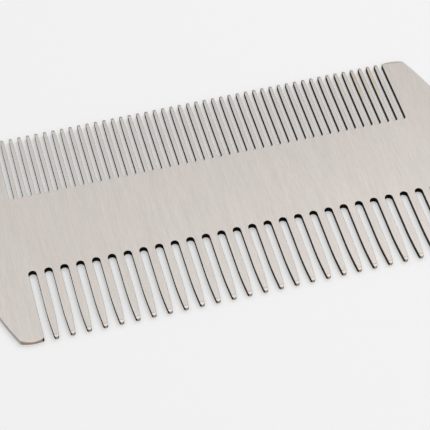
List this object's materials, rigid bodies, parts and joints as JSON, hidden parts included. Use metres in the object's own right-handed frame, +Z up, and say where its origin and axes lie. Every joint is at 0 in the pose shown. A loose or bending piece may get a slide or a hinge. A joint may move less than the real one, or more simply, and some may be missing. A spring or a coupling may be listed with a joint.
{
  "type": "flea comb",
  "caption": "Flat double-sided metal comb cut from one steel sheet, with a coarse row, a fine row and rounded guard ends.",
  "frame": {"origin": "centre of the underside, with the comb lying flat", "axes": "+X along the rows of teeth, +Y towards the fine tips, -Y towards the coarse tips, +Z up through the sheet"},
  "size_m": [0.087, 0.0428, 0.001],
  "materials": {
    "steel": "satin"
  },
  "bodies": {
    "root": {"comb_plate": "steel"}
  },
  "joints": []
}
